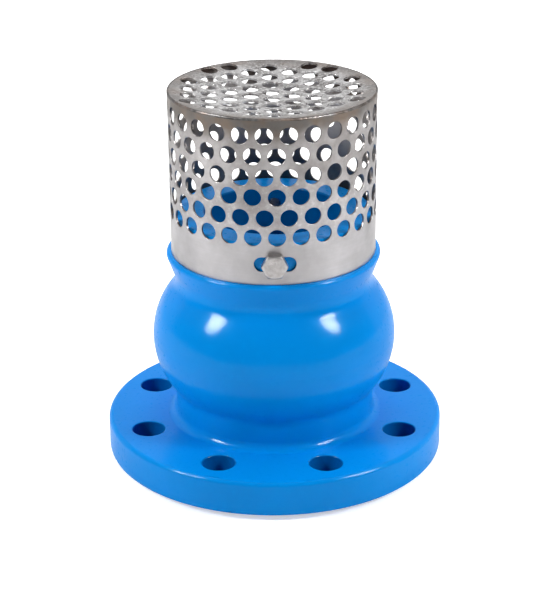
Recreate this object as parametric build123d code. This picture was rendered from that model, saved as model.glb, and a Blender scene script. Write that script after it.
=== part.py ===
from build123d import *
from math import cos, hypot, radians, sin, sqrt
import os

# Flanged silent foot valve, DN80, PN16 drilling, millimetres.
# Origin: centre of the flange's sealing face. +Z runs up the valve's axis to the strainer,
# which is against the flow. -Y is the front, where the first strainer bolt is.

# ---- flange ----
FLANGE_R = 100.0
FACE_R = 66.0                 # raised sealing face
FACE_H = 3.0
FLANGE_TOP = 24.0
FLANGE_EDGE_R = 2.5           # rounding of the top and bottom rim
BOLT_CIRCLE_R = 80.0
BOLT_HOLE_R = 9.5
BOLT_HOLES = 8
BOLT_HOLE_EDGE = 1.0

# ---- outside of the casting ----
HUB_R = 59.2
HUB_FOOT_FILLET = 5.0         # hub into flange
HUB_FILLET = 9.0              # hub into bulb
BULB_ARC_R = 47.0             # the bulb is an arc turned about the axis
BULB_ARC_CENTRE = (24.8, 74.2)
GROOVE_ARC_R = 11.0           # hollow between bulb and collar
GROOVE_MIN_R = 58.3
COLLAR_FLARE_DEG = 20.0
COLLAR_R = 62.6
COLLAR_LIP_Z = 125.2
COLLAR_TOP = 127.4
COLLAR_EDGE_R = 1.6
COLLAR_LIP_ROUND = 3.0

# ---- neck, inside the strainer ----
NECK_R = 58.2
NECK_TOP = 150.9
NECK_EDGE_R = 3.0
NECK_BORE_R = 40.0
NECK_BORE_EDGE = 1.2

# ---- inside of the casting ----
WALL = 6.5
CORE_FILLET = 3.0
SPIDER_BORE_R = 51.0
SPIDER_SHOULDER_Z = 24.0
OUTLET_BORE_R = 48.0
SNAP_GROOVE_R = 53.0
SNAP_GROOVE_Z = (3.0, 7.15)
SEAT_POCKET_R = 47.5
SEAT_POCKET_Z = (104.0, 112.0)

# ---- seat ring ----
SEAT_R = 47.4
SEAT_BORE_R = 39.0
SEAT_BODY_Z = (103.0, 111.9)
SEAT_NOSE_Z = 102.0
SEAT_NOSE_R = (40.8, 43.2)
SEAT_KEYS = 4
SEAT_KEY_W = 6.0
SEAT_KEY_DEPTH = 3.0
O_RING_R = 43.5
O_RING_HALF_W = 1.35
O_RING_HALF_H = 0.97
O_GROOVE_HALF_W = 1.5
O_GROOVE_DEPTH = 1.9

# ---- disc, shut ----
DISC_R = 47.0
DISC_LIP_R = 45.6
DISC_LIP_TOP = 99.7
DISC_BOSS_R = 34.0
DISC_BOSS_TOP = 99.2
SEAL_BED_Z = 96.7
DISC_RIM_Z = 93.4
DISC_BACK_R = 18.6
DISC_BACK_Z = 87.5
DISC_HUB_R = 11.5
DISC_HUB_Z = 68.2             # lands on the upper bush flange after 20 mm
SEAL_R = (34.05, 38.3, 45.5)
SEAL_LIP_TOP = 99.15
SEAL_TOP = 101.7
RETAINER_R = 38.1
RETAINER_Z = (99.2, 103.2)

# ---- stem ----
STEM_R = 7.0
STEM_BOTTOM = 22.0
STEM_SHOULDER_Z = 84.0
STEM_NECK_R = 6.0
STEM_TOP = 122.0
STEM_CLEAR = 0.06
WASHER_R = 12.0
WASHER_Z = (103.2, 105.7)
NUT_FLATS = 18.0
NUT_H = 15.0
NUT_SLOT_DEPTH = 5.0
NUT_SLOT_W = 3.5
NUT_CROWN_R = 8.3
PIN_R = 1.55
PIN_HEAD_R = 2.6

# ---- spring ----
SPRING_MEAN_R = 15.0
SPRING_WIRE_R = 1.0
SPRING_TURNS = 8
SPRING_SEAT_R = (12.0, 18.0)
SPRING_SEAT_T = 1.5

# ---- guide spider ----
SPIDER_R = 50.9
SPIDER_RING_BORE_R = 45.5
SPIDER_RING_Z = (7.25, 24.0)
SPIDER_HUB_Z = (12.0, 46.0)
SPIDER_HUB_R = (13.0, 18.3)
SPIDER_HUB_BORE_R = 9.0
VANES = 4
VANE_T = 5.0
VANE_TIP_R = 47.6
BUSH_R = 8.98
BUSH_L = 12.0
BUSH_FLANGE_R = 11.5
BUSH_FLANGE_T = 2.0

# ---- snap ring ----
SNAP_R = (46.6, 52.8)
SNAP_Z = (3.1, 7.0)
SNAP_GAP_DEG = 14.0
SNAP_LUG_R = 4.6
SNAP_LUG_AT_R = 46.2
SNAP_LUG_AT_DEG = 10.5
SNAP_EYE_R = 1.75
SNAP_TURN_DEG = 45.0          # the gap lies under a vane

# ---- strainer ----
SHELL_R = 59.8
SHEET_T = 1.2
SHELL_Z = (127.6, 222.8)
HOLE_R = 5.0
ROW_Z = (155.4, 166.9, 178.9, 190.3, 202.4, 214.1)
HOLE_STEP_DEG = 13.1
SEAM_DEG = 137.4
ROW_FIRST_DEG = (16.25, 9.7)  # first hole after the seam, in the two staggered rows
ROW_HOLES = (26, 27)
SEAM_W = 3.2
SEAM_PROUD = 0.45
SLOT_CENTRE_DEG = 2.15
SLOT_L = 23.8
SLOT_W = 8.8
SLOT_Z = 139.8
PLATE_R = 59.0
PLATE_RIM_R = 57.4            # the dish starts inside this flat rim
PLATE_DISH = 4.7
PLATE_PITCH = 13.6
PLATE_ORIGIN = (-0.5, 6.4)
PLATE_TURN_DEG = 2.7
PLATE_FIELD_R = 53.0          # hole centres lie within this circle
PLATE_FIELD_Y = 2.0           # its centre, towards the back
WELD_PROUD = 0.15

# ---- strainer bolts, M8 ----
BOLT_DEGS = (1.9, 180.3)
BOLT_Z = 139.8
BOLT_R = 4.0
BOLT_L = 16.0
BOLT_TAP_R = 4.02
BOLT_HEAD_FLATS = 13.0
BOLT_HEAD_H = 5.3
BOLT_SEAT_R = 59.85


def turned(face):
    """Solid of revolution about Z from a face drawn in the XZ plane."""
    return revolve(face, axis=Axis.Z, revolution_arc=360)


def profile(points):
    """Closed face in the XZ plane through (radius, height) points."""
    wire = Polyline(*[(r, 0, z) for r, z in points], close=True)
    return make_face(wire)


def ring(r_in, r_out, z0, z1):
    """Plain ring of rectangular section."""
    return turned(profile([(r_in, z0), (r_out, z0), (r_out, z1), (r_in, z1)]))


def at_angle(degrees_from_front, radius, z):
    """Point at an angle from the front (-Y) towards +X."""
    a = radians(degrees_from_front)
    return (radius * sin(a), -radius * cos(a), z)


def arc_through(a, centre, b):
    """Arc from a to b about a centre, the short way, in the XZ plane."""
    mid = ((a[0] + b[0]) / 2 - centre[0], (a[1] + b[1]) / 2 - centre[1])
    radius = hypot(a[0] - centre[0], a[1] - centre[1])
    scale = radius / hypot(*mid)
    m = (centre[0] + mid[0] * scale, centre[1] + mid[1] * scale)
    return ThreePointArc((a[0], 0, a[1]), (m[0], 0, m[1]), (b[0], 0, b[1]))


def line_between(a, b):
    return Line((a[0], 0, a[1]), (b[0], 0, b[1]))


def on_bulb(centre, own_r):
    """Point where an outside fillet circle touches the bulb's arc."""
    k = BULB_ARC_R / (BULB_ARC_R + own_r)
    cr, cz = BULB_ARC_CENTRE
    return (cr + (centre[0] - cr) * k, cz + (centre[1] - cz) * k)


def fillet_centre(axis_r, own_r, side):
    """Centre of a circle that touches the bulb's arc and reaches in to axis_r."""
    r = axis_r + own_r
    rise = sqrt((BULB_ARC_R + own_r) ** 2 - (r - BULB_ARC_CENTRE[0]) ** 2)
    return (r, BULB_ARC_CENTRE[1] + side * rise)


def body_outside():
    """Hub, bulb, groove, collar and neck as one turned solid, down to the flange top."""
    low = fillet_centre(HUB_R, HUB_FILLET, -1)
    high = fillet_centre(GROOVE_MIN_R, GROOVE_ARC_R, 1)
    low_touch = on_bulb(low, HUB_FILLET)
    high_touch = on_bulb(high, GROOVE_ARC_R)
    widest = (BULB_ARC_CENTRE[0] + BULB_ARC_R, BULB_ARC_CENTRE[1])
    flare = radians(COLLAR_FLARE_DEG)
    flare_start = (
        high[0] - GROOVE_ARC_R * cos(flare),
        high[1] + GROOVE_ARC_R * sin(flare),
    )
    deep = FLANGE_TOP - 4.0
    hub_top = (HUB_R, low[1])
    hub_bottom = (HUB_R, deep)
    lip = (COLLAR_R, COLLAR_LIP_Z)
    edges = [
        line_between((0, deep), hub_bottom),
        line_between(hub_bottom, hub_top),
        arc_through(hub_top, low, low_touch),
        arc_through(low_touch, BULB_ARC_CENTRE, widest),
        arc_through(widest, BULB_ARC_CENTRE, high_touch),
        arc_through(high_touch, high, flare_start),
        line_between(flare_start, lip),
        line_between(lip, (COLLAR_R, COLLAR_TOP)),
        line_between((COLLAR_R, COLLAR_TOP), (NECK_R, COLLAR_TOP)),
        line_between((NECK_R, COLLAR_TOP), (NECK_R, NECK_TOP)),
        line_between((NECK_R, NECK_TOP), (0, NECK_TOP)),
        line_between((0, NECK_TOP), (0, deep)),
    ]
    solid = turned(make_face(Wire(edges)))
    for radius, z, rounding in (
        (NECK_R, NECK_TOP, NECK_EDGE_R),
        (COLLAR_R, COLLAR_LIP_Z, COLLAR_LIP_ROUND),
        (COLLAR_R, COLLAR_TOP, COLLAR_EDGE_R),
    ):
        solid = fillet([e for e in solid.edges() if at_ring(e, radius, z)], rounding)
    return solid


def at_ring(edge, radius, z):
    """True for a full circle of the given radius and height about the axis."""
    if edge.geom_type != GeomType.CIRCLE:
        return False
    c = edge.arc_center
    return abs(edge.radius - radius) < 0.01 and abs(c.Z - z) < 0.01 and hypot(c.X, c.Y) < 0.01


def body_cavity():
    """Everything turned out of the casting: outlet, bulb chamber, seat pocket, neck bore."""
    cr, cz = BULB_ARC_CENTRE
    inner = BULB_ARC_R - WALL
    low_z = cz - sqrt(inner ** 2 - (OUTLET_BORE_R - cr) ** 2)
    roof_z = SEAT_POCKET_Z[0]
    roof_r = cr + sqrt(inner ** 2 - (roof_z - cz) ** 2)
    low = (OUTLET_BORE_R, low_z)
    widest = (cr + inner, cz)
    roof = (roof_r, roof_z)
    over = 5.0
    edges = [
        line_between((0, -over), (SPIDER_BORE_R, -over)),
        line_between((SPIDER_BORE_R, -over), (SPIDER_BORE_R, SPIDER_SHOULDER_Z)),
        line_between((SPIDER_BORE_R, SPIDER_SHOULDER_Z), (OUTLET_BORE_R, SPIDER_SHOULDER_Z)),
        line_between((OUTLET_BORE_R, SPIDER_SHOULDER_Z), low),
        arc_through(low, BULB_ARC_CENTRE, widest),
        arc_through(widest, BULB_ARC_CENTRE, roof),
        line_between(roof, (SEAT_POCKET_R, roof_z)),
        line_between((SEAT_POCKET_R, roof_z), (SEAT_POCKET_R, SEAT_POCKET_Z[1])),
        line_between((SEAT_POCKET_R, SEAT_POCKET_Z[1]), (NECK_BORE_R, SEAT_POCKET_Z[1])),
        line_between((NECK_BORE_R, SEAT_POCKET_Z[1]), (NECK_BORE_R, NECK_TOP + over)),
        line_between((NECK_BORE_R, NECK_TOP + over), (0, NECK_TOP + over)),
        line_between((0, NECK_TOP + over), (0, -over)),
    ]
    cavity = turned(make_face(Wire(edges)))
    for radius, z in (low, roof):
        cavity = fillet([e for e in cavity.edges() if at_ring(e, radius, z)], CORE_FILLET)
    groove = ring(SPIDER_BORE_R - 1.0, SNAP_GROOVE_R, *SNAP_GROOVE_Z)
    return cavity + groove


def valve_body():
    flange = Pos(0, 0, (FACE_H + FLANGE_TOP) / 2) * Cylinder(FLANGE_R, FLANGE_TOP - FACE_H)
    flange = fillet([e for e in flange.edges() if e.geom_type == GeomType.CIRCLE], FLANGE_EDGE_R)
    face = Pos(0, 0, FACE_H) * Cylinder(FACE_R, FACE_H * 2)
    casting = flange + face + body_outside()
    foot = [e for e in casting.edges() if at_ring(e, HUB_R, FLANGE_TOP)]
    casting = fillet(foot, HUB_FOOT_FILLET)
    casting -= body_cavity()
    rim = [e for e in casting.edges() if at_ring(e, NECK_BORE_R, NECK_TOP)]
    casting = fillet(rim, NECK_BORE_EDGE)
    hole = Pos(0, 0, FLANGE_TOP / 2) * Cylinder(BOLT_HOLE_R, FLANGE_TOP * 2)
    start = 180.0 / BOLT_HOLES
    for place in PolarLocations(BOLT_CIRCLE_R, BOLT_HOLES, start_angle=start):
        casting -= place * hole
    mouths = [
        e for e in casting.edges()
        if e.geom_type == GeomType.CIRCLE
        and abs(e.radius - BOLT_HOLE_R) < 0.01
        and abs(e.arc_center.Z - FLANGE_TOP) < 0.01
    ]
    casting = fillet(mouths, BOLT_HOLE_EDGE)
    for turn in BOLT_DEGS:
        casting -= radial_rod(turn, BOLT_Z, BOLT_TAP_R, NECK_BORE_R - 4.0, NECK_R + 1.0)
    return casting


def radial_rod(degrees_from_front, z, radius, r_from, r_to):
    """Cylinder that lies along a radius of the valve."""
    a = radians(degrees_from_front)
    outward = (sin(a), -cos(a), 0)
    base = at_angle(degrees_from_front, r_from, z)
    plane = Plane(origin=base, z_dir=outward)
    return extrude(plane * Circle(radius), r_to - r_from)


def seat_ring():
    z0, z1 = SEAT_BODY_Z
    nose_in, nose_out = SEAT_NOSE_R
    solid = turned(profile([
        (SEAT_BORE_R, z0 + 1.5),
        (nose_in, SEAT_NOSE_Z),
        (nose_out, SEAT_NOSE_Z),
        (nose_out + 1.0, z0),
        (SEAT_R - 0.6, z0),
        (SEAT_R, z0 + 0.6),
        (SEAT_R, z1),
        (SEAT_BORE_R + 1.2, z1),
        (SEAT_BORE_R, z1 - 2.4),
    ]))
    solid -= ring(O_RING_R - O_GROOVE_HALF_W, O_RING_R + O_GROOVE_HALF_W, z1 - O_GROOVE_DEPTH, z1 + 1)
    key = Pos(SEAT_R, 0, z0) * Box(5.0, SEAT_KEY_W, SEAT_KEY_DEPTH * 2)
    for k in range(SEAT_KEYS):
        solid -= Rot(0, 0, 360.0 / SEAT_KEYS * k) * key
    return solid


def seat_o_ring():
    z = SEAT_POCKET_Z[1] - O_RING_HALF_H - 0.02
    section = Plane.XZ * Pos(O_RING_R, z) * Ellipse(O_RING_HALF_W, O_RING_HALF_H)
    return turned(section)


def valve_disc():
    solid = turned(profile([
        (STEM_NECK_R + STEM_CLEAR, DISC_BOSS_TOP),
        (DISC_BOSS_R, DISC_BOSS_TOP),
        (DISC_BOSS_R, SEAL_BED_Z),
        (DISC_LIP_R, SEAL_BED_Z),
        (DISC_LIP_R, DISC_LIP_TOP),
        (DISC_R - 0.5, DISC_LIP_TOP),
        (DISC_R, DISC_LIP_TOP - 0.5),
        (DISC_R, DISC_RIM_Z),
        (DISC_R - 6.0, DISC_RIM_Z - 2.6),
        (DISC_BACK_R, DISC_BACK_Z),
        (DISC_HUB_R, DISC_BACK_Z),
        (DISC_HUB_R, DISC_HUB_Z + 1.0),
        (DISC_HUB_R - 1.0, DISC_HUB_Z),
        (STEM_R + STEM_CLEAR, DISC_HUB_Z),
        (STEM_R + STEM_CLEAR, STEM_SHOULDER_Z),
        (STEM_NECK_R + STEM_CLEAR, STEM_SHOULDER_Z),
    ]))
    return solid


def disc_seal():
    r0, r1, r2 = SEAL_R
    bed = SEAL_BED_Z + 0.05
    return turned(profile([
        (r0, bed), (r2, bed), (r2, SEAL_TOP - 0.6), (r2 - 0.6, SEAL_TOP),
        (r1, SEAL_TOP), (r1, SEAL_LIP_TOP), (r0, SEAL_LIP_TOP),
    ]))


def seal_retainer():
    z0, z1 = RETAINER_Z
    bore = STEM_NECK_R + 0.2
    return turned(profile([
        (bore, z0), (RETAINER_R, z0), (RETAINER_R, z1 - 1.6),
        (RETAINER_R - 1.6, z1), (bore, z1),
    ]))


def stem():
    rod = turned(profile([
        (0, STEM_BOTTOM), (STEM_R - 1.5, STEM_BOTTOM), (STEM_R, STEM_BOTTOM + 1.5),
        (STEM_R, STEM_SHOULDER_Z), (STEM_NECK_R, STEM_SHOULDER_Z),
        (STEM_NECK_R, STEM_TOP - 1.0), (STEM_NECK_R - 1.0, STEM_TOP), (0, STEM_TOP),
    ]))
    return rod - split_pin_hole(PIN_R + 0.1)


def pin_height():
    return WASHER_Z[1] + NUT_H - NUT_SLOT_DEPTH / 2


def split_pin_hole(radius):
    return Pos(0, 0, pin_height()) * Rot(0, 90, 0) * Cylinder(radius, 40.0)


def stem_washer():
    return ring(STEM_NECK_R + 0.4, WASHER_R, *WASHER_Z)


def hexagon(across_flats):
    """Regular hexagon with two flats square to the local X axis."""
    return Rot(0, 0, 30) * RegularPolygon(across_flats / 2, 6, major_radius=False)


def chamfered_hex(across_flats, height, slope):
    """Hex prism on z=0 whose far face is turned to a cone, as on a nut or bolt head."""
    prism = extrude(hexagon(across_flats), height)
    corner = across_flats / sqrt(3.0)
    face_r = across_flats / 2 * 0.95
    drop = (corner + 0.5 - face_r) * slope
    cone = turned(profile([
        (0, -1.0), (corner + 0.5, -1.0), (corner + 0.5, height - drop), (face_r, height), (0, height),
    ]))
    return prism & cone


def stem_nut():
    z0 = WASHER_Z[1]
    nut = chamfered_hex(NUT_FLATS, NUT_H - NUT_SLOT_DEPTH, 0.5)
    crown = Pos(0, 0, NUT_H / 2) * Cylinder(NUT_CROWN_R, NUT_H)
    nut += crown
    slot = Pos(0, 0, NUT_H - NUT_SLOT_DEPTH / 2) * Box(30.0, NUT_SLOT_W, NUT_SLOT_DEPTH)
    for k in range(3):
        nut -= Rot(0, 0, 60.0 * k) * slot
    nut -= Pos(0, 0, NUT_H / 2) * Cylinder(STEM_NECK_R + 0.02, NUT_H * 2)
    return Pos(0, 0, z0) * nut


def stem_split_pin():
    """Pin through the crown slots, an eye at one end and two bent legs at the other."""
    z = pin_height()
    reach = NUT_CROWN_R + 0.6
    straight = Pos(0, 0, z) * Rot(0, 90, 0) * Cylinder(PIN_R, 2 * reach)
    eye = Pos(-reach - PIN_HEAD_R + 0.8, 0, z) * Rot(90, 0, 0) * Torus(PIN_HEAD_R - 0.8, 0.8)
    pin = straight + eye
    leg = Rot(0, 90, 0) * Cylinder(0.75, 6.0)
    for side in (-1, 1):
        pin += Pos(reach + 1.6, side * 1.9, z) * Rot(0, 0, side * 50.0) * leg
    return pin


def spring_seat(z0):
    return ring(SPRING_SEAT_R[0], SPRING_SEAT_R[1], z0, z0 + SPRING_SEAT_T)


def closing_spring():
    """Coil of round wire with both ends ground flat on the spring seats."""
    bottom = SPIDER_HUB_Z[1] + SPRING_SEAT_T
    top = DISC_BACK_Z - SPRING_SEAT_T
    pitch = (top - bottom) / SPRING_TURNS
    path = Helix(pitch=pitch, height=top - bottom, radius=SPRING_MEAN_R)
    start = path @ 0
    section = Plane(origin=start, z_dir=path % 0) * Circle(SPRING_WIRE_R)
    coil = Pos(0, 0, bottom) * sweep(section, path=path, is_frenet=True)
    return coil & ring(SPRING_SEAT_R[0], SPRING_SEAT_R[1], bottom, top)


def guide_spider():
    z0, z1 = SPIDER_HUB_Z
    r_low, r_top = SPIDER_HUB_R
    hub = turned(profile([
        (0, z0), (r_low - 2.0, z0), (r_low, z0 + 3.0), (r_top, z1 - 16.0), (r_top, z1), (0, z1),
    ]))
    solid = hub + ring(SPIDER_RING_BORE_R, SPIDER_R, *SPIDER_RING_Z)
    plate = make_face(Polyline(
        (r_low - 2.0, 0, z0 + 1.5),
        (SPIDER_RING_BORE_R + 1.0, 0, SPIDER_RING_Z[0] + 2.0),
        (VANE_TIP_R, 0, SPIDER_RING_Z[0] + 2.0),
        (VANE_TIP_R, 0, SPIDER_RING_Z[1] + 5.0),
        (r_top - 2.0, 0, z1 - 3.0),
        (r_low - 2.0, 0, z1 - 3.0),
        close=True,
    ))
    vane = extrude(plate, VANE_T / 2, both=True)
    for k in range(VANES):
        solid += Rot(0, 0, 45.0 + 360.0 / VANES * k) * vane
    solid -= Pos(0, 0, z1 / 2) * Cylinder(SPIDER_HUB_BORE_R, z1 * 2)
    return solid


def guide_bush_upper():
    z = SPIDER_HUB_Z[1]
    bore = STEM_R + STEM_CLEAR
    return ring(bore, BUSH_R, z - BUSH_L, z) + ring(bore, BUSH_FLANGE_R, z, z + BUSH_FLANGE_T)


def guide_bush_lower():
    return ring(STEM_R + STEM_CLEAR, BUSH_R, SPIDER_HUB_Z[0], SPIDER_HUB_Z[0] + BUSH_L)


def spider_snap_ring():
    z0, z1 = SNAP_Z
    solid = ring(SNAP_R[0], SNAP_R[1], z0, z1)
    height = z1 - z0
    lug = Pos(0, 0, (z0 + z1) / 2) * Cylinder(SNAP_LUG_R, height)
    eye = Pos(0, 0, (z0 + z1) / 2) * Cylinder(SNAP_EYE_R, height * 2)
    gap_half = radians(SNAP_GAP_DEG / 2)
    reach = SNAP_R[1] + 5.0
    wedge = make_face(Polyline(
        (0, 0, z0), (reach, -reach * gap_half, z0), (reach, reach * gap_half, z0), close=True,
    ))
    solid -= extrude(wedge, height, dir=(0, 0, 1))
    for side in (-1, 1):
        place = Rot(0, 0, side * SNAP_LUG_AT_DEG) * Pos(SNAP_LUG_AT_R, 0, 0)
        solid += place * lug
        solid -= place * eye
    return Rot(0, 0, SNAP_TURN_DEG) * solid


def strainer_shell():
    shell = ring(SHELL_R - SHEET_T, SHELL_R, *SHELL_Z)
    tools = []
    for row, z in enumerate(ROW_Z):
        first = SEAM_DEG + ROW_FIRST_DEG[row % 2]
        for k in range(ROW_HOLES[row % 2]):
            turn = first + HOLE_STEP_DEG * k
            tools.append(radial_rod(turn, z, HOLE_R, SHELL_R - 4.0, SHELL_R + 3.0))
    for turn in (SLOT_CENTRE_DEG, SLOT_CENTRE_DEG + 180.0):
        a = radians(turn)
        base = at_angle(turn, SHELL_R - 8.0, SLOT_Z)
        plane = Plane(origin=base, x_dir=(cos(a), sin(a), 0), z_dir=(sin(a), -cos(a), 0))
        tools.append(extrude(plane * SlotOverall(SLOT_L, SLOT_W), 12.0))
    return shell - tools


def dish_radius(depth):
    return (PLATE_RIM_R ** 2 + depth ** 2) / (2 * depth)


def strainer_end_plate():
    """Perforated disc, dished inwards inside a flat rim."""
    z0 = SHELL_Z[1]
    z1 = z0 + SHEET_T
    sphere_r = dish_radius(PLATE_DISH)
    section = make_face(Wire([
        line_between((0, z1 - PLATE_DISH - SHEET_T), (0, z1 - PLATE_DISH)),
        arc_through((0, z1 - PLATE_DISH), (0, z1 - PLATE_DISH + sphere_r), (PLATE_RIM_R, z1)),
        line_between((PLATE_RIM_R, z1), (PLATE_R, z1)),
        line_between((PLATE_R, z1), (PLATE_R, z0)),
        line_between((PLATE_R, z0), (PLATE_RIM_R, z0)),
        arc_through((PLATE_RIM_R, z0), (0, z0 - PLATE_DISH + sphere_r), (0, z0 - PLATE_DISH)),
    ]))
    plate = turned(section)
    column_step = PLATE_PITCH * sqrt(3.0) / 2
    columns = int(PLATE_R // column_step) + 1
    rows = int(PLATE_R // PLATE_PITCH) + 1
    tools = []
    for i in range(-columns, columns + 1):
        for j in range(-rows, rows + 1):
            x = PLATE_ORIGIN[0] + i * column_step
            y = PLATE_ORIGIN[1] + (j + 0.5 * (i % 2)) * PLATE_PITCH
            if hypot(x, y - PLATE_FIELD_Y) < PLATE_FIELD_R:
                tools.append(Pos(x, y, z0) * Cylinder(HOLE_R, 40.0))
    return Rot(0, 0, PLATE_TURN_DEG) * (plate - tools)


def end_plate_weld():
    """Ground corner weld: rounded outside, over the tube's edge and the plate's edge."""
    z0 = SHELL_Z[1]
    z1 = z0 + SHEET_T + WELD_PROUD
    r0 = PLATE_R
    r1 = SHELL_R + WELD_PROUD
    knee = 0.75
    section = make_face(Wire([
        line_between((r0, z0), (r1, z0)),
        line_between((r1, z0), (r1, z1 - knee)),
        arc_through((r1, z1 - knee), (r1 - knee, z1 - knee), (r1 - knee, z1)),
        line_between((r1 - knee, z1), (r0, z1)),
        line_between((r0, z1), (r0, z0)),
    ]))
    return turned(section)


def shell_seam_weld():
    """Bead along the tube's joint, on its outside."""
    z0, z1 = SHELL_Z
    half = SEAM_W / 2
    bead = ring(SHELL_R, SHELL_R + SEAM_PROUD, z0 + 0.5, z1 - 0.5)
    box_l = 20.0
    keep = Pos(0, -SHELL_R, (z0 + z1) / 2) * Box(2 * half, box_l, z1 - z0)
    return Rot(0, 0, SEAM_DEG) * (bead & keep)


def strainer_bolts():
    """Two hex bolts, flats up and down, heads bearing on the tube."""
    bolts = []
    for turn in BOLT_DEGS:
        a = radians(turn)
        outward = (sin(a), -cos(a), 0)
        plane = Plane(
            origin=at_angle(turn, BOLT_SEAT_R, BOLT_Z),
            x_dir=(cos(a), sin(a), 0),
            z_dir=outward,
        )
        head = Rot(0, 0, 30) * chamfered_hex(BOLT_HEAD_FLATS, BOLT_HEAD_H, 0.5)
        shank = turned(profile([
            (0, 0.5), (BOLT_R, 0.5), (BOLT_R, 1.0 - BOLT_L), (BOLT_R - 1.0, -BOLT_L), (0, -BOLT_L),
        ]))
        bolts.append(plane.location * (head + shank))
    return Compound(children=bolts)


PARTS = {
    "valve_body": valve_body,
    "seat_ring": seat_ring,
    "seat_o_ring": seat_o_ring,
    "valve_disc": valve_disc,
    "disc_seal": disc_seal,
    "seal_retainer": seal_retainer,
    "stem": stem,
    "stem_washer": stem_washer,
    "stem_nut": stem_nut,
    "stem_split_pin": stem_split_pin,
    "closing_spring": closing_spring,
    "spring_seat_upper": lambda: spring_seat(DISC_BACK_Z - SPRING_SEAT_T),
    "spring_seat_lower": lambda: spring_seat(SPIDER_HUB_Z[1]),
    "guide_spider": guide_spider,
    "guide_bush_upper": guide_bush_upper,
    "guide_bush_lower": guide_bush_lower,
    "spider_snap_ring": spider_snap_ring,
    "strainer_shell": strainer_shell,
    "strainer_end_plate": strainer_end_plate,
    "end_plate_weld": end_plate_weld,
    "shell_seam_weld": shell_seam_weld,
    "strainer_bolts": strainer_bolts,
}

os.makedirs("parts", exist_ok=True)
for name, make in PARTS.items():
    export_step(make(), os.path.join("parts", name + ".step"))
    print("wrote", name)
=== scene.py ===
from math import cos, radians, sin, tau

import bpy
from mathutils import Matrix, Vector


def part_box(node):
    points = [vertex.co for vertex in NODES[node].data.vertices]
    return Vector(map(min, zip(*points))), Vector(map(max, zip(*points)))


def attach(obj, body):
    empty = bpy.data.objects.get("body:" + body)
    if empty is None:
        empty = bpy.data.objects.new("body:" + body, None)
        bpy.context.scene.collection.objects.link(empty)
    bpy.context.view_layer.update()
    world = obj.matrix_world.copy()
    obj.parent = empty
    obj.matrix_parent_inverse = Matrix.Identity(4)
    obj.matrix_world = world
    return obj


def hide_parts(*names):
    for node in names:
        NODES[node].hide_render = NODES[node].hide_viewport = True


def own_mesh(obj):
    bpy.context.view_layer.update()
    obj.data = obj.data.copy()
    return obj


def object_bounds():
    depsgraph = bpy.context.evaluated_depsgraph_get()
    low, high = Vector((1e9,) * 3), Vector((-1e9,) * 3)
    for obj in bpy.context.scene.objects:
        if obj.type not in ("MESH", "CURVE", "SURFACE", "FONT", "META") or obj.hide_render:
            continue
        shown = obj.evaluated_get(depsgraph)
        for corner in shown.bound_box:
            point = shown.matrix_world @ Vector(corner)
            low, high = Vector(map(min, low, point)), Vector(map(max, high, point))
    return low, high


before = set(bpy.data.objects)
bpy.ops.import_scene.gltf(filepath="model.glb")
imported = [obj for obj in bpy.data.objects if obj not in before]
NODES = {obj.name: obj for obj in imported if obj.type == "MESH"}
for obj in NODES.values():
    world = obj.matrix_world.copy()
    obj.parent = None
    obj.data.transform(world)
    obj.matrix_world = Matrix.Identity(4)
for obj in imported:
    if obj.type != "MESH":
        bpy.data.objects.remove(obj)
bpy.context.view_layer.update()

MM = 0.001

scene = bpy.context.scene
scene.view_settings.view_transform = "Standard"
scene.view_settings.look = "None"

# ---------------------------------------------------------------- driving dimensions
HOLE_COUNT = 8                  # bolt holes in the flange
HOLE_CIRCLE_R = 80.0 * MM
HOLE_R = 9.5 * MM
HUB_FROM_Z = 27.0 * MM          # above this there is no flange
GASKET_GROOVE_PITCH = 0.8 * MM
NECK_BORE_R = 40.0 * MM
SEAT_TOP_Z = 112.0 * MM         # the neck's bore starts above the seat ring
SHEET_T = 1.2 * MM
SHELL_TOP_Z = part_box("strainer_shell")[1].z
SHELL_BORE_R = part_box("strainer_shell")[1].x - SHEET_T

SPRING_MEAN_R = 15.0 * MM
SPRING_WIRE_R = 1.0 * MM
SPRING_TURNS = 8
SPRING_DEAD_TURNS = 1.0         # closed turns at each end
SPRING_STEPS = 72               # along each turn
SPRING_SIDES = 14               # around the wire

# ---------------------------------------------------------------- camera
CAM_AT = Vector((0.02295, -1.05589, 0.53396))
CAM_PITCH = radians(22.627)
CAM_YAW = radians(-1.207)
CAM_ROLL = radians(-0.429)
CAM_LENS = 115.83
CAM_SENSOR = 36.0


def make_camera():
    forward = Vector((sin(CAM_YAW) * cos(CAM_PITCH), cos(CAM_YAW) * cos(CAM_PITCH), -sin(CAM_PITCH)))
    level = Vector((cos(CAM_YAW), -sin(CAM_YAW), 0.0))
    upright = level.cross(forward)
    right = level * cos(CAM_ROLL) + upright * sin(CAM_ROLL)
    up = upright * cos(CAM_ROLL) - level * sin(CAM_ROLL)
    data = bpy.data.cameras.new("camera")
    data.lens = CAM_LENS
    data.sensor_width = CAM_SENSOR
    data.clip_start = 0.05
    data.clip_end = 50.0
    cam = bpy.data.objects.new("camera", data)
    scene.collection.objects.link(cam)
    turn = Matrix((right, up, -forward)).transposed().to_4x4()
    cam.matrix_world = Matrix.Translation(CAM_AT) @ turn
    scene.camera = cam


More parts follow.
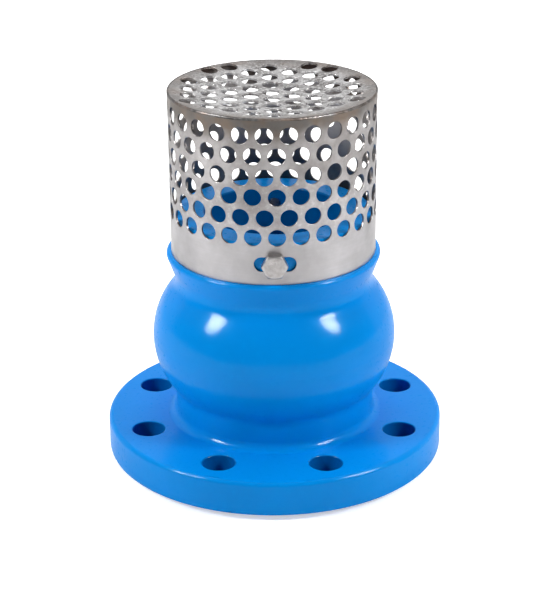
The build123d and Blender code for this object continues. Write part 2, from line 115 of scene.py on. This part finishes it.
# ---------------------------------------------------------------- shader building
class Shade:
    """One material's node tree. Places and lengths are metres in the valve's own frame."""

    def __init__(self, name):
        self.mat = bpy.data.materials.new(name)
        self.mat.use_nodes = True
        self.tree = self.mat.node_tree
        self.bsdf = self.tree.nodes["Principled BSDF"]
        self.coords = self.node("ShaderNodeTexCoord").outputs["Object"]

    def node(self, kind, **props):
        n = self.tree.nodes.new(kind)
        for key, value in props.items():
            setattr(n, key, value)
        return n

    def link(self, a, b):
        self.tree.links.new(a, b)

    def set(self, **values):
        for key, value in values.items():
            self.bsdf.inputs[key.replace("_", " ")].default_value = value

    def feed(self, name, socket):
        self.link(socket, self.bsdf.inputs[name])

    # ---- patterns
    def stretched(self, scale):
        m = self.node("ShaderNodeMapping")
        m.inputs["Scale"].default_value = scale
        self.link(self.coords, m.inputs["Vector"])
        return m.outputs["Vector"]

    def noise(self, scale, detail=3.0, rough=0.5, vector=None):
        n = self.node("ShaderNodeTexNoise")
        n.inputs["Scale"].default_value = scale
        n.inputs["Detail"].default_value = detail
        n.inputs["Roughness"].default_value = rough
        self.link(vector or self.coords, n.inputs["Vector"])
        return n.outputs["Fac"]

    def spread(self, socket, low, high, to_low, to_high, smooth=False):
        """Map low..high to to_low..to_high, clamped."""
        n = self.node("ShaderNodeMapRange")
        n.clamp = True
        if smooth:
            n.interpolation_type = "SMOOTHSTEP"
        n.inputs["From Min"].default_value = low
        n.inputs["From Max"].default_value = high
        n.inputs["To Min"].default_value = to_low
        n.inputs["To Max"].default_value = to_high
        self.link(socket, n.inputs["Value"])
        return n.outputs["Result"]

    def patches(self, scale, detail=3.0, rough=0.5, low=0.3, high=0.7, least=0.0, most=1.0):
        """Noise as a mask: least below low, most above high."""
        return self.spread(self.noise(scale, detail, rough), low, high, least, most)

    def mix(self, fac, a, b):
        n = self.node("ShaderNodeMix", data_type="RGBA")
        slots = {"Factor": n.inputs[0], "A": n.inputs[6], "B": n.inputs[7]}
        for key, value in (("Factor", fac), ("A", a), ("B", b)):
            if isinstance(value, bpy.types.NodeSocket):
                self.link(value, slots[key])
            else:
                slots[key].default_value = (*value, 1.0)
        return n.outputs[2]

    # ---- arithmetic
    def math(self, operation, a, b=0.0):
        n = self.node("ShaderNodeMath", operation=operation)
        for socket, value in zip(n.inputs, (a, b)):
            if isinstance(value, (int, float)):
                socket.default_value = value
            else:
                self.link(value, socket)
        return n.outputs["Value"]

    def times(self, a, b):
        return self.math("MULTIPLY", a, b)

    def length(self, a, b):
        return self.math("POWER", self.math("ADD", self.times(a, a), self.times(b, b)), 0.5)

    def waves(self, socket, pitch):
        return self.math("SINE", self.times(socket, tau / pitch))

    # ---- places on the valve
    def axis(self, which):
        n = self.node("ShaderNodeSeparateXYZ")
        self.link(self.coords, n.inputs["Vector"])
        return n.outputs[which]

    def radius(self):
        """Distance from the valve's axis."""
        return self.length(self.axis("X"), self.axis("Y"))

    def angle(self):
        """Angle about the valve's axis, in radians."""
        return self.math("ARCTAN2", self.axis("Y"), self.axis("X"))

    # ---- surface relief
    def bump(self, height, distance, strength=1.0, under=None):
        n = self.node("ShaderNodeBump")
        n.inputs["Distance"].default_value = distance
        n.inputs["Strength"].default_value = strength
        self.link(height, n.inputs["Height"])
        if under is not None:
            self.link(under, n.inputs["Normal"])
        return n.outputs["Normal"]

    def soft_edges(self, radius):
        n = self.node("ShaderNodeBevel", samples=4)
        n.inputs["Radius"].default_value = radius
        return n.outputs["Normal"]


def shaded(colour, tone):
    return tuple(c * tone for c in colour)


# ---------------------------------------------------------------- materials
BORE_SHADE_BLUE = (0.0, 0.095, 0.36)          # painted shade: a darker, duller blue for the walls of the bolt holes and the neck's bore, where shade falls


def bolt_hole_bores(s):
    """Mask of the painted shade: 0.8 on the walls of the flange's bolt holes, 0 elsewhere."""
    sector = s.math("SUBTRACT", s.math("FRACT", s.times(s.angle(), HOLE_COUNT / tau)), 0.5)
    swing = s.times(sector, tau / HOLE_COUNT)
    along = s.math("SUBTRACT", s.times(s.radius(), s.math("COSINE", swing)), HOLE_CIRCLE_R)
    across = s.times(s.radius(), s.math("SINE", swing))
    near_hole = s.spread(s.length(along, across), HOLE_R + 0.05 * MM, HOLE_R + 0.5 * MM, 0.80, 0.0)
    on_flange = s.spread(s.axis("Z"), HUB_FROM_Z, HUB_FROM_Z + 1.0 * MM, 1.0, 0.0)
    return s.times(near_hole, on_flange)


def neck_bore(s):
    # mask of the painted shade: up to 0.6 on the neck's bore above the seat ring
    near_axis = s.spread(s.radius(), NECK_BORE_R + 0.5 * MM, NECK_BORE_R + 1.5 * MM, 0.6, 0.0)
    above_seat = s.spread(s.axis("Z"), SEAT_TOP_Z, SEAT_TOP_Z + 2.0 * MM, 0.0, 1.0)
    return s.times(near_axis, above_seat)


def epoxy_paint():
    """Thick glossy blue epoxy over a sand-cast surface."""
    s = Shade("blue_epoxy")
    base = s.mix(s.patches(16.0, 2.0), (0.0, 0.222, 0.66), (0.0, 0.245, 0.72))
    base = s.mix(s.patches(240.0, low=0.55, high=0.75, most=0.3), base, (0.0, 0.27, 0.73))
    # painted shade in the flange's bolt holes and in the neck's bore
    base = s.mix(bolt_hole_bores(s), base, BORE_SHADE_BLUE)
    base = s.mix(neck_bore(s), base, BORE_SHADE_BLUE)
    s.feed("Base Color", base)
    s.feed("Roughness", s.patches(420.0, least=0.26, most=0.34))

    # the gloss shows the casting's waviness, the colour under it hardly does
    waviness = s.noise(34.0, 1.0, 0.4)
    runs = s.noise(100.0, 1.0, 0.4)
    s.feed("Coat Normal", s.bump(runs, 0.3 * MM, 0.6, s.bump(waviness, 1.3 * MM, 0.6)))

    # concentric gasket grooves, only on the sealing face underneath
    sealing_face = s.spread(s.axis("Z"), 0.2 * MM, 0.4 * MM, 1.0, 0.0)
    grooves = s.times(s.waves(s.radius(), GASKET_GROOVE_PITCH), sealing_face)
    s.feed("Normal", s.bump(grooves, 0.1 * MM, 1.0, s.bump(waviness, 0.5 * MM, 0.6)))
    s.set(IOR=1.10, Specular_Tint=(0.04, 1.0, 1.0, 1.0),
          Coat_Weight=0.20, Coat_IOR=1.5, Coat_Roughness=0.13)
    return s.mat


def sheet_steel(name, tone):
    """Satin stainless sheet, grimy between the holes and heat-tinted under the top weld, with painted shade
    on its inside and the inner half of its hole walls.
    """
    s = Shade(name)
    blotch = s.noise(38.0, 4.0, 0.6)
    grain = s.noise(900.0, 2.0, 0.5, s.stretched((0.06, 0.06, 1.0)))
    speck = s.noise(330.0, 4.0, 0.7)

    base = s.mix(s.spread(blotch, 0.3, 0.7, 0.0, 1.0),
                 shaded((0.46, 0.445, 0.45), tone), shaded((0.64, 0.625, 0.64), tone))
    worn = s.spread(s.axis("Z"), SHELL_TOP_Z - 80.0 * MM, SHELL_TOP_Z - 45.0 * MM, 0.03, 1.0, smooth=True)
    grime = s.times(s.spread(speck, 0.54, 0.68, 0.0, 0.55), worn)
    scuffs = s.times(s.spread(speck, 0.32, 0.46, 0.65, 0.0), worn)
    base = s.mix(grime, base, (0.20, 0.185, 0.18))
    base = s.mix(scuffs, base, (0.86, 0.85, 0.86))
    base = s.mix(s.spread(grain, 0.35, 0.65, 0.0, 0.25), base, (0.38, 0.365, 0.365))
    # painted shade: the sheet's inside and the inner half of its hole walls turn near-black brown
    bore = s.spread(s.radius(), SHELL_BORE_R + 0.4 * MM, SHELL_BORE_R + 0.9 * MM, 0.90, 0.0)
    base = s.mix(bore, base, (0.095, 0.073, 0.054))

    # the sheet grows darker, and scorch climbs, towards the weld along a ragged line
    ragged = s.math("ADD", s.axis("Z"), s.patches(34.0, 4.0, 0.6, least=-6.0 * MM, most=6.0 * MM))
    weld_darkening = s.spread(ragged, SHELL_TOP_Z - 80.0 * MM, SHELL_TOP_Z - 20.0 * MM, 0.0, 0.85, smooth=True)
    darkened_steel = s.mix(s.spread(blotch, 0.36, 0.62, 0.0, 1.0), (0.24, 0.22, 0.21), (0.46, 0.44, 0.435))
    base = s.mix(weld_darkening, base, darkened_steel)
    tint = s.spread(ragged, SHELL_TOP_Z - 14.0 * MM, SHELL_TOP_Z - 2.0 * MM, 0.0, 0.90, smooth=True)
    scorch = s.mix(s.patches(70.0, low=0.4, high=0.6), (0.125, 0.115, 0.105), (0.16, 0.12, 0.09))
    base = s.mix(tint, base, scorch)
    # heat tint on the inside, darkened almost to black by painted shade
    base = s.mix(s.times(tint, bore), base, (0.022, 0.010, 0.008))

    s.feed("Base Color", base)
    s.feed("Roughness", s.patches(130.0, least=0.30, most=0.44))
    s.feed("Normal", s.bump(grain, 0.015 * MM, 0.5, s.soft_edges(0.3 * MM)))
    s.set(Metallic=1.0)
    return s.mat


def end_plate_steel():
    """Brighter pressed plate, scuffed all over and heat-stained towards its rim."""
    s = Shade("strainer_plate")
    scuff = s.noise(520.0, 4.0, 0.65)
    base = s.mix(s.patches(90.0, 4.0, 0.65, low=0.35, high=0.65), (0.17, 0.155, 0.15), (0.60, 0.59, 0.595))
    base = s.mix(s.spread(scuff, 0.5, 0.62, 0.0, 0.80), base, (0.92, 0.91, 0.91))
    ragged = s.math("ADD", s.radius(), s.patches(60.0, 4.0, 0.6, least=-3.0 * MM, most=3.0 * MM))
    tint = s.spread(ragged, 47.0 * MM, 57.0 * MM, 0.0, 0.75, smooth=True)
    scorch = s.mix(s.patches(80.0, low=0.4, high=0.6), (0.19, 0.17, 0.16), (0.26, 0.21, 0.18))
    s.feed("Base Color", s.mix(tint, base, scorch))
    s.feed("Roughness", s.patches(150.0, least=0.24, most=0.40))
    dents = s.bump(s.noise(110.0, 2.0), 0.12 * MM, 0.5, s.soft_edges(0.18 * MM))
    s.feed("Normal", s.bump(scuff, 0.04 * MM, 0.5, dents))
    s.set(Metallic=1.0)
    return s.mat


def weld_steel(name, ripples, height, tone):
    """Weld metal: so many ripples in a full turn, with brown heat stains."""
    s = Shade(name)
    base = s.mix(s.patches(190.0, 4.0, 0.65, low=0.4, high=0.62),
                 shaded((0.28, 0.26, 0.25), tone), shaded((0.80, 0.78, 0.77), tone))
    base = s.mix(s.patches(60.0, low=0.5, high=0.72, most=0.6), base, (0.26, 0.19, 0.15))
    s.feed("Base Color", base)
    s.feed("Roughness", s.patches(300.0, 2.0, least=0.34, most=0.52))
    grit = s.bump(s.noise(240.0, 2.0), 0.05 * MM, 0.6)
    s.feed("Normal", s.bump(s.waves(s.angle(), tau / ripples), height, 0.5, grit))
    s.set(Metallic=1.0)
    return s.mat


def turned_metal(name, light, dark, rough, ring_pitch=0.3 * MM):
    """Lathe-turned metal: fine rings about the axis, slight stains."""
    s = Shade(name)
    s.feed("Base Color", s.mix(s.patches(90.0, 4.0, 0.6), dark, light))
    s.feed("Roughness", s.patches(300.0, 2.0, least=rough - 0.05, most=rough + 0.07))
    rings = s.waves(s.math("ADD", s.radius(), s.axis("Z")), ring_pitch)
    s.feed("Normal", s.bump(rings, 0.012 * MM, 0.5, s.soft_edges(0.3 * MM)))
    s.set(Metallic=1.0)
    return s.mat


def cast_bronze():
    """Sand-cast bronze with a pitted skin."""
    s = Shade("spider_bronze")
    base = s.mix(s.patches(60.0, 5.0, 0.6), (0.42, 0.25, 0.105), (0.60, 0.39, 0.17))
    base = s.mix(s.patches(700.0, 2.0, low=0.55, high=0.75, most=0.5), base, (0.20, 0.115, 0.05))
    s.feed("Base Color", base)
    s.feed("Roughness", s.patches(180.0, least=0.36, most=0.55))
    s.feed("Normal", s.bump(s.noise(260.0, 5.0, 0.6), 0.18 * MM, 0.7, s.soft_edges(0.6 * MM)))
    s.set(Metallic=1.0)
    return s.mat


def bright_steel(name, light, dark, rough, edge=0.25 * MM):
    """Cold-formed stainless: small dents and scuffs in every direction."""
    s = Shade(name)
    scuff = s.noise(420.0, 4.0, 0.6)
    s.feed("Base Color", s.mix(s.spread(scuff, 0.35, 0.7, 0.0, 1.0), light, dark))
    s.feed("Roughness", s.patches(240.0, least=rough - 0.05, most=rough + 0.08))
    s.feed("Normal", s.bump(scuff, 0.04 * MM, 0.5, s.soft_edges(edge)))
    s.set(Metallic=1.0)
    return s.mat


def moulded_rubber(name):
    s = Shade(name)
    s.feed("Base Color", s.mix(s.patches(120.0, 4.0, 0.6), (0.012, 0.012, 0.013), (0.035, 0.035, 0.037)))
    s.feed("Roughness", s.patches(420.0, 2.0, least=0.48, most=0.66))
    s.feed("Normal", s.bump(s.noise(900.0), 0.04 * MM, 0.6, s.soft_edges(0.3 * MM)))
    return s.mat


# ---------------------------------------------------------------- stage
FLOOR_HALF = 6.0
FLOOR_GAP = 0.2 * MM            # keeps the floor off the sealing face
FLOOR_GLOW = (0.55, 1.0)        # near the valve, and far away
FLOOR_GLOW_R = (0.4, 1.6)


def floor_material():
    """White sweep. What the viewer sees of it glows to pure white; what it bounces does not."""
    s = Shade("studio_floor")
    s.feed("Base Color", s.mix(s.noise(3.0, 2.0), (0.86, 0.86, 0.86), (0.89, 0.89, 0.89)))
    seen = s.node("ShaderNodeLightPath").outputs["Is Camera Ray"]
    s.feed("Emission Strength", s.times(seen, s.spread(s.radius(), *FLOOR_GLOW_R, *FLOOR_GLOW)))
    s.set(Roughness=0.75, Emission_Color=(1.0, 1.0, 1.0, 1.0))
    return s.mat


def make_floor():
    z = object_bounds()[0].z - FLOOR_GAP
    corners = [(-1, -1), (1, -1), (1, 1), (-1, 1)]
    mesh = bpy.data.meshes.new("floor")
    mesh.from_pydata([(x * FLOOR_HALF, y * FLOOR_HALF, z) for x, y in corners], [], [(0, 1, 2, 3)])
    floor = bpy.data.objects.new("floor", mesh)
    scene.collection.objects.link(floor)
    floor.data.materials.append(floor_material())


# ---------------------------------------------------------------- light
LIGHT_TARGET = Vector((0.0, 0.0, 0.10))
SWEEP_EDGE = (0.68, 0.72)       # where the room turns into the sweep; 0 is the front, 1 the back
ROOM_GREY = 0.09
SWEEP_STRENGTH = 0.85


def area_light(name, azimuth, elevation, distance, size, watts, tall=1.0):
    """Soft lamp aimed at the valve. Azimuth 0 is the front, 90 the right; tall is height over width."""
    data = bpy.data.lights.new(name, "AREA")
    data.shape = "ELLIPSE"
    data.size = size
    data.size_y = size * tall
    data.energy = watts
    lamp = bpy.data.objects.new(name, data)
    scene.collection.objects.link(lamp)
    a, e = radians(azimuth), radians(elevation)
    back = Vector((sin(a) * cos(e), -cos(a) * cos(e), sin(e)))
    lamp.location = LIGHT_TARGET + back * distance
    lamp.rotation_euler = back.to_track_quat("Z", "Y").to_euler()
    return lamp


def fill_light(*args):
    """Broad bounced light that shows in no reflection."""
    area_light(*args).visible_glossy = False


def glint_light(*args):
    """A lamp that only shows as a reflection."""
    area_light(*args).visible_diffuse = False


def make_lights():
    fill_light("fill_left", -105.0, 30.0, 1.5, 1.0, 4.0)
    fill_light("fill_right", 105.0, 30.0, 1.5, 1.0, 4.0)
    fill_light("fill_top", 180.0, 58.0, 1.6, 1.2, 6.5)
    area_light("key_left", -67.0, 36.0, 1.5, 0.36, 13.5)
    area_light("key_right", 67.0, 36.0, 1.5, 0.36, 13.0)
    glint_light("glint_left", -67.0, 36.0, 1.48, 0.40, 26.0, 1.8)
    glint_light("glint_right", 67.0, 36.0, 1.48, 0.40, 26.0, 1.8)
    area_light("overhead", 180.0, 75.0, 1.8, 1.4, 6.0)


def make_world():
    """A white sweep behind and at the sides, a dim room in front. The viewer sees pure white."""
    world = bpy.data.worlds.new("studio")
    scene.world = world
    world.use_nodes = True
    nodes, links = world.node_tree.nodes, world.node_tree.links

    coords = nodes.new("ShaderNodeTexCoord")
    split = nodes.new("ShaderNodeSeparateXYZ")
    links.new(coords.outputs["Generated"], split.inputs["Vector"])
    shift = nodes.new("ShaderNodeMapRange")
    shift.inputs["From Min"].default_value = -1.0
    shift.inputs["From Max"].default_value = 1.0
    links.new(split.outputs["Y"], shift.inputs["Value"])
    ramp = nodes.new("ShaderNodeValToRGB")
    ramp.color_ramp.interpolation = "EASE"
    for stop, position, grey in zip(ramp.color_ramp.elements, SWEEP_EDGE, (ROOM_GREY, 1.0)):
        stop.position = position
        stop.color = (grey, grey, grey, 1.0)
    links.new(shift.outputs["Result"], ramp.inputs["Fac"])

    surroundings = nodes["Background"]
    surroundings.inputs["Strength"].default_value = SWEEP_STRENGTH
    links.new(ramp.outputs["Color"], surroundings.inputs["Color"])
    seen = nodes.new("ShaderNodeBackground")
    seen.inputs["Color"].default_value = (1.0, 1.0, 1.0, 1.0)
    path = nodes.new("ShaderNodeLightPath")
    blend = nodes.new("ShaderNodeMixShader")
    links.new(path.outputs["Is Camera Ray"], blend.inputs["Fac"])
    links.new(surroundings.outputs["Background"], blend.inputs[1])
    links.new(seen.outputs["Background"], blend.inputs[2])
    links.new(blend.outputs["Shader"], nodes["World Output"].inputs["Surface"])


# ---------------------------------------------------------------- closing spring
def coil_heights(height):
    """Rise of the wire's centre line at each step: closed turns at the ends, even pitch between."""
    dead_pitch = 2.08 * SPRING_WIRE_R
    live_pitch = (height - 2 * SPRING_DEAD_TURNS * dead_pitch) / (SPRING_TURNS - 2 * SPRING_DEAD_TURNS)
    rise = [0.0]
    for k in range(SPRING_TURNS * SPRING_STEPS):
        turn = (k + 0.5) / SPRING_STEPS
        from_end = min(turn, SPRING_TURNS - turn)
        opening = min(max((from_end - SPRING_DEAD_TURNS + 0.25) / 0.5, 0.0), 1.0)
        rise.append(rise[-1] + (dead_pitch + (live_pitch - dead_pitch) * opening) / SPRING_STEPS)
    return rise


def coil_mesh(low_z, high_z):
    """Round wire wound in a helix, its end turns ground flat at low_z and high_z."""
    rise = coil_heights(high_z - low_z)
    sunk = 0.3 * SPRING_WIRE_R                       # how near the ends the centre line comes
    scale = (high_z - low_z - 2 * sunk) / rise[-1]
    points, faces = [], []
    for k, up in enumerate(rise):
        a = tau * k / SPRING_STEPS
        for j in range(SPRING_SIDES):
            b = tau * j / SPRING_SIDES
            r = SPRING_MEAN_R + SPRING_WIRE_R * cos(b)
            z = low_z + sunk + up * scale + SPRING_WIRE_R * sin(b)
            points.append((r * cos(a), r * sin(a), min(max(z, low_z), high_z)))
    count = len(rise) - 1
    for k in range(count):
        for j in range(SPRING_SIDES):
            i, n = k * SPRING_SIDES, (j + 1) % SPRING_SIDES
            faces.append((i + j, i + SPRING_SIDES + j, i + SPRING_SIDES + n, i + n))
    last = count * SPRING_SIDES
    faces.append(tuple(range(SPRING_SIDES)))
    faces.append(tuple(last + j for j in reversed(range(SPRING_SIDES))))
    mesh = bpy.data.meshes.new("spring_coil")
    mesh.from_pydata(points, [], faces)
    for face in mesh.polygons:
        face.use_smooth = len(face.vertices) == 4
    return mesh


def closing_spring(material):
    """Wire coil that shortens as the disc lifts."""
    low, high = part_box("closing_spring")
    coil = bpy.data.objects.new("spring_coil", coil_mesh(low.z, high.z))
    scene.collection.objects.link(coil)
    coil.data.materials.append(material)
    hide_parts("closing_spring")
    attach(coil, "body")
    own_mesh(coil)


# ---------------------------------------------------------------- the valve
def make_finishes():
    """The material of each node. Pieces of one stock share one material."""
    bronze = turned_metal("seat_bronze", (0.70, 0.50, 0.25), (0.61, 0.42, 0.195), 0.26)
    bush = turned_metal("bush_bronze", (0.68, 0.44, 0.20), (0.57, 0.36, 0.155), 0.34)
    stainless = turned_metal("disc_stainless", (0.62, 0.61, 0.60), (0.56, 0.55, 0.54), 0.25)
    ground_bar = turned_metal("stem_stainless", (0.68, 0.68, 0.68), (0.58, 0.58, 0.58), 0.18, 0.5 * MM)
    fastener = bright_steel("fastener_stainless", (0.64, 0.63, 0.62), (0.46, 0.45, 0.44), 0.28)
    bolt_steel = bright_steel("bolt_stainless", (0.50, 0.48, 0.475), (0.37, 0.345, 0.335), 0.32, 0.9 * MM)
    return {
        "valve_body": epoxy_paint(),
        "seat_ring": bronze,
        "seat_o_ring": moulded_rubber("o_ring_rubber"),
        "valve_disc": stainless,
        "disc_seal": moulded_rubber("seal_rubber"),
        "seal_retainer": stainless,
        "stem": ground_bar,
        "stem_washer": fastener,
        "stem_nut": fastener,
        "stem_split_pin": fastener,
        "closing_spring": bright_steel("spring_steel", (0.60, 0.60, 0.60), (0.40, 0.40, 0.40), 0.24),
        "spring_seat_upper": fastener,
        "spring_seat_lower": fastener,
        "guide_spider": cast_bronze(),
        "guide_bush_upper": bush,
        "guide_bush_lower": bush,
        "spider_snap_ring": bright_steel("snap_ring_steel", (0.13, 0.13, 0.135), (0.06, 0.06, 0.062), 0.42),
        "strainer_shell": sheet_steel("strainer_sheet", 0.77),
        "strainer_end_plate": end_plate_steel(),
        "end_plate_weld": weld_steel("weld_ground", 150.0, 0.02 * MM, 0.20),
        "shell_seam_weld": weld_steel("weld_bead", 30.0, 0.04 * MM, 0.8),
        "strainer_bolts": bolt_steel,
    }


make_camera()
make_floor()
make_world()
make_lights()

finishes = make_finishes()
for node, material in finishes.items():
    NODES[node].data.materials.clear()
    NODES[node].data.materials.append(material)
closing_spring(finishes["closing_spring"])
